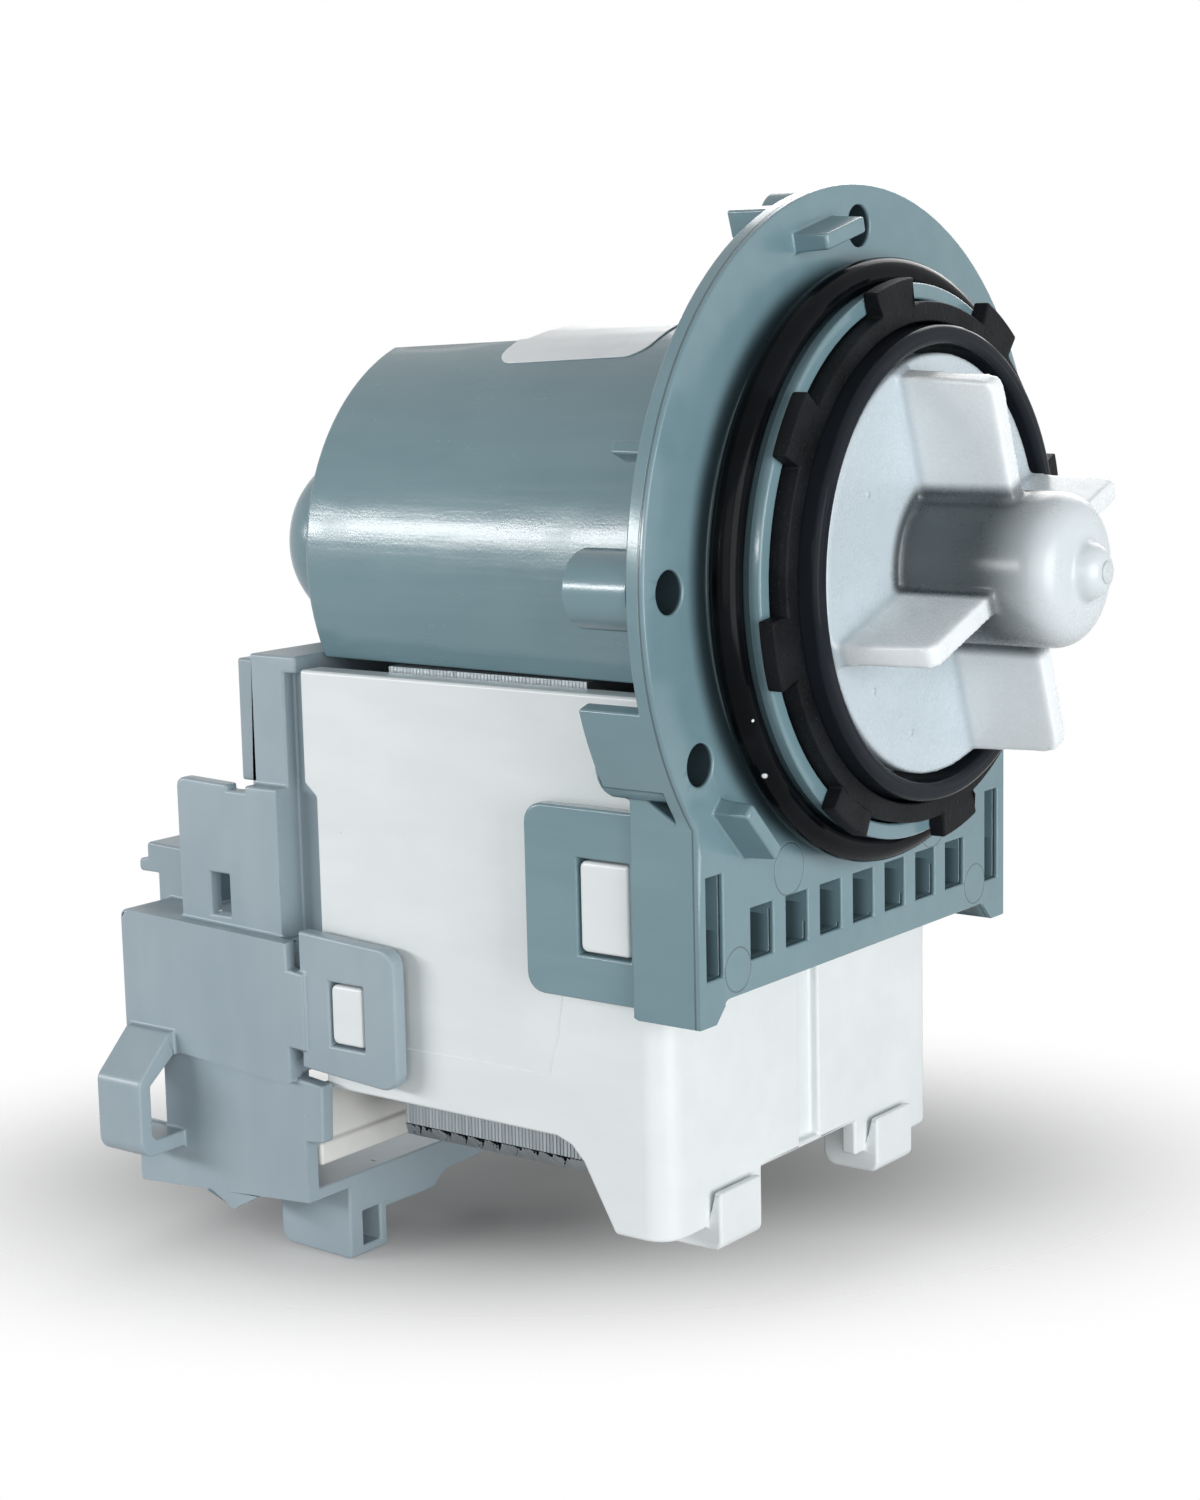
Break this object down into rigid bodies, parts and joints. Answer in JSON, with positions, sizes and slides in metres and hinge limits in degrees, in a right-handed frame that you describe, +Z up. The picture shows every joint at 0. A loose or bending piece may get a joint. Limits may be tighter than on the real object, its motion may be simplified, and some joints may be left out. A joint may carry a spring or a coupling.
{
  "type": "washer drain pump",
  "caption": "Single-phase drain pump with a round screw flange, covered rotor can, vaned impeller, laminated stator in a white cover and a rear plug bracket.",
  "frame": {"origin": "centre of the flange's front face, on the shaft axis", "axes": "+X along the shaft towards the impeller's nose, +Z up, the side with the plug socket towards -Y"},
  "size_m": [0.1225, 0.082, 0.1264],
  "materials": {
    "housing_plastic": "satin blue-grey moulding",
    "bracket_plastic": "satin light grey moulding",
    "white_plastic": "satin cool white moulding",
    "impeller_plastic": "translucent natural moulding",
    "cap_plastic": "satin grey moulding",
    "former_plastic": "satin off-white moulding",
    "black_rubber": "black rubber",
    "black_plastic": "black, slightly grainy moulding",
    "steel": "ground steel",
    "sheet_stack": "stacked electrical sheet, cut edges",
    "magnet": "dark sintered ferrite",
    "bronze": "sintered bearing metal",
    "copper_wire": "enamelled copper wire",
    "tape": "yellow insulating film",
    "tinned_brass": "tinned contact metal",
    "label": "blank white film"
  },
  "bodies": {
    "stator": {"motor_housing": "housing_plastic", "o_ring": "black_rubber", "lock_ring": "black_plastic", "lip_ring": "black_rubber", "front_cap": "cap_plastic", "cap_seal": "black_rubber", "shaft_seal": "black_rubber", "front_bearing": "bronze", "rear_bearing": "bronze", "front_grommet": "black_rubber", "rear_grommet": "black_rubber", "stator_pole_left": "sheet_stack", "stator_pole_right": "sheet_stack", "core_yoke": "sheet_stack", "bobbin_left": "former_plastic", "bobbin_right": "former_plastic", "winding_left": "copper_wire", "winding_right": "copper_wire", "winding_tape": "tape", "thermal_cutout": "steel", "coil_leads": "former_plastic", "coil_cover": "white_plastic", "terminal_block": "former_plastic", "spade_terminals": "tinned_brass", "terminal_bracket": "bracket_plastic", "rating_label": "label"},
    "rotor": {"rotor_shaft": "steel", "magnet_hub": "former_plastic", "rotor_magnet": "magnet", "drive_dog": "cap_plastic", "dog_buffer": "black_rubber", "front_washer": "steel", "rear_washer": "steel"},
    "impeller": {"impeller": "impeller_plastic", "impeller_bush": "impeller_plastic"}
  },
  "joints": [
    {"name": "rotor_spin", "type": "hinge", "parent": "stator", "child": "rotor", "pos_m": [0, 0, 0], "axis": [1, 0, 0], "continuous": true},
    {"name": "impeller_play", "type": "hinge", "parent": "rotor", "child": "impeller", "pos_m": [0, 0, 0], "axis": [1, 0, 0], "range_deg": [-122, 122]}
  ]
}
